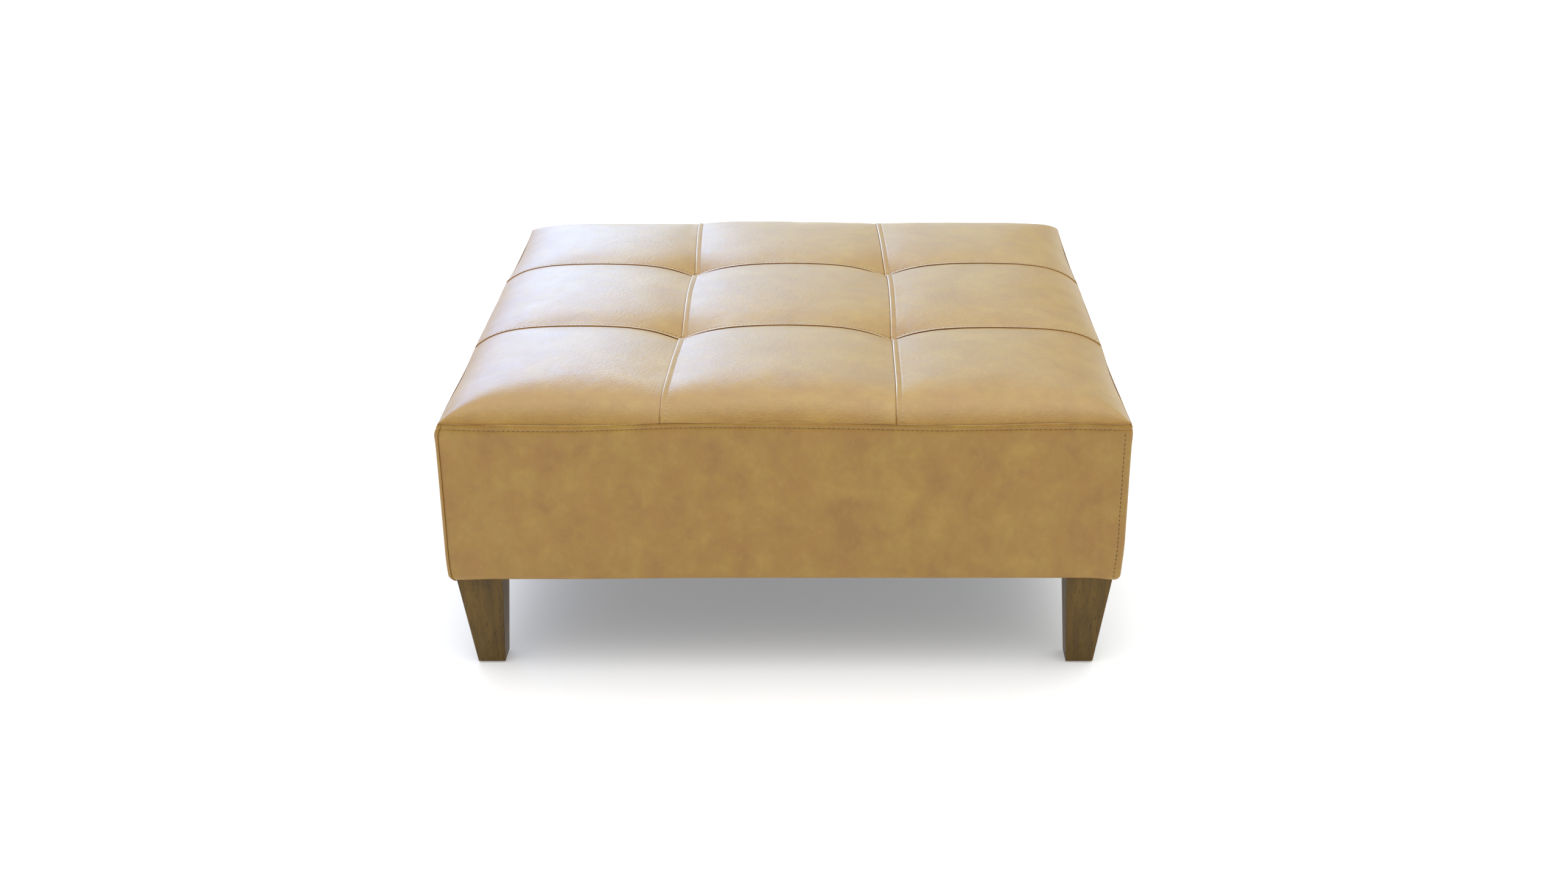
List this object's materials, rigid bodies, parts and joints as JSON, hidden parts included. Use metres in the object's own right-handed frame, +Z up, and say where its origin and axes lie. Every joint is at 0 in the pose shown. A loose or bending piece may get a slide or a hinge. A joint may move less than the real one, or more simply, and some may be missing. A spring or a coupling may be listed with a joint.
{
  "type": "ottoman bench",
  "caption": "Low square leather ottoman bench with a crowned, blind-tufted panel top, plain boxed sides and short tapered wood legs.",
  "frame": {"origin": "on the floor, under the middle of the object", "axes": "+Z up, front faces -Y, +X to the right of someone who looks at the front"},
  "size_m": [0.9194, 0.9194, 0.4134],
  "materials": {
    "leather": "satin",
    "leg_wood": "satin",
    "frame_wood": "matte",
    "plywood": "matte",
    "dowel_wood": "matte",
    "fibreboard": "matte",
    "foam": "matte",
    "wadding": "matte",
    "dust_cloth": "matte",
    "twine": "matte",
    "toggle_plastic": "matte",
    "glide_plastic": "matte",
    "zinc_steel": "satin"
  },
  "bodies": {
    "root": {"bottom_rail_back": "frame_wood", "bottom_rail_front": "frame_wood", "bottom_rail_left": "frame_wood", "bottom_rail_right": "frame_wood", "corner_brace_back_left": "frame_wood", "corner_brace_back_right": "frame_wood", "corner_brace_front_left": "frame_wood", "corner_brace_front_right": "frame_wood", "corner_post_back_left": "frame_wood", "corner_post_back_right": "frame_wood", "corner_post_front_left": "frame_wood", "corner_post_front_right": "frame_wood", "cross_brace_left": "frame_wood", "cross_brace_right": "frame_wood", "deck_board": "plywood", "deck_screws": "zinc_steel", "dust_cover": "dust_cloth", "foam_block": "foam", "frame_screws": "zinc_steel", "glide_back_left": "glide_plastic", "glide_back_right": "glide_plastic", "glide_front_left": "glide_plastic", "glide_front_right": "glide_plastic", "glide_nails": "zinc_steel", "hanger_bolts": "zinc_steel", "leg_back_left": "leg_wood", "leg_back_right": "leg_wood", "leg_front_left": "leg_wood", "leg_front_right": "leg_wood", "rail_dowels": "dowel_wood", "side_liner_back": "fibreboard", "side_liner_front": "fibreboard", "side_liner_left": "fibreboard", "side_liner_right": "fibreboard", "side_panel_back": "leather", "side_panel_front": "leather", "side_panel_left": "leather", "side_panel_right": "leather", "side_wadding_back": "wadding", "side_wadding_front": "wadding", "side_wadding_left": "wadding", "side_wadding_right": "wadding", "threaded_inserts": "zinc_steel", "top_panel_back_centre": "leather", "top_panel_back_left": "leather", "top_panel_back_right": "leather", "top_panel_front_centre": "leather", "top_panel_front_left": "leather", "top_panel_front_right": "leather", "top_panel_middle_centre": "leather", "top_panel_middle_left": "leather", "top_panel_middle_right": "leather", "top_rail_back": "frame_wood", "top_rail_front": "frame_wood", "top_rail_left": "frame_wood", "top_rail_right": "frame_wood", "top_wadding": "wadding", "tuft_toggles": "toggle_plastic", "tuft_twines": "twine", "underside_staples": "zinc_steel"}
  },
  "joints": []
}
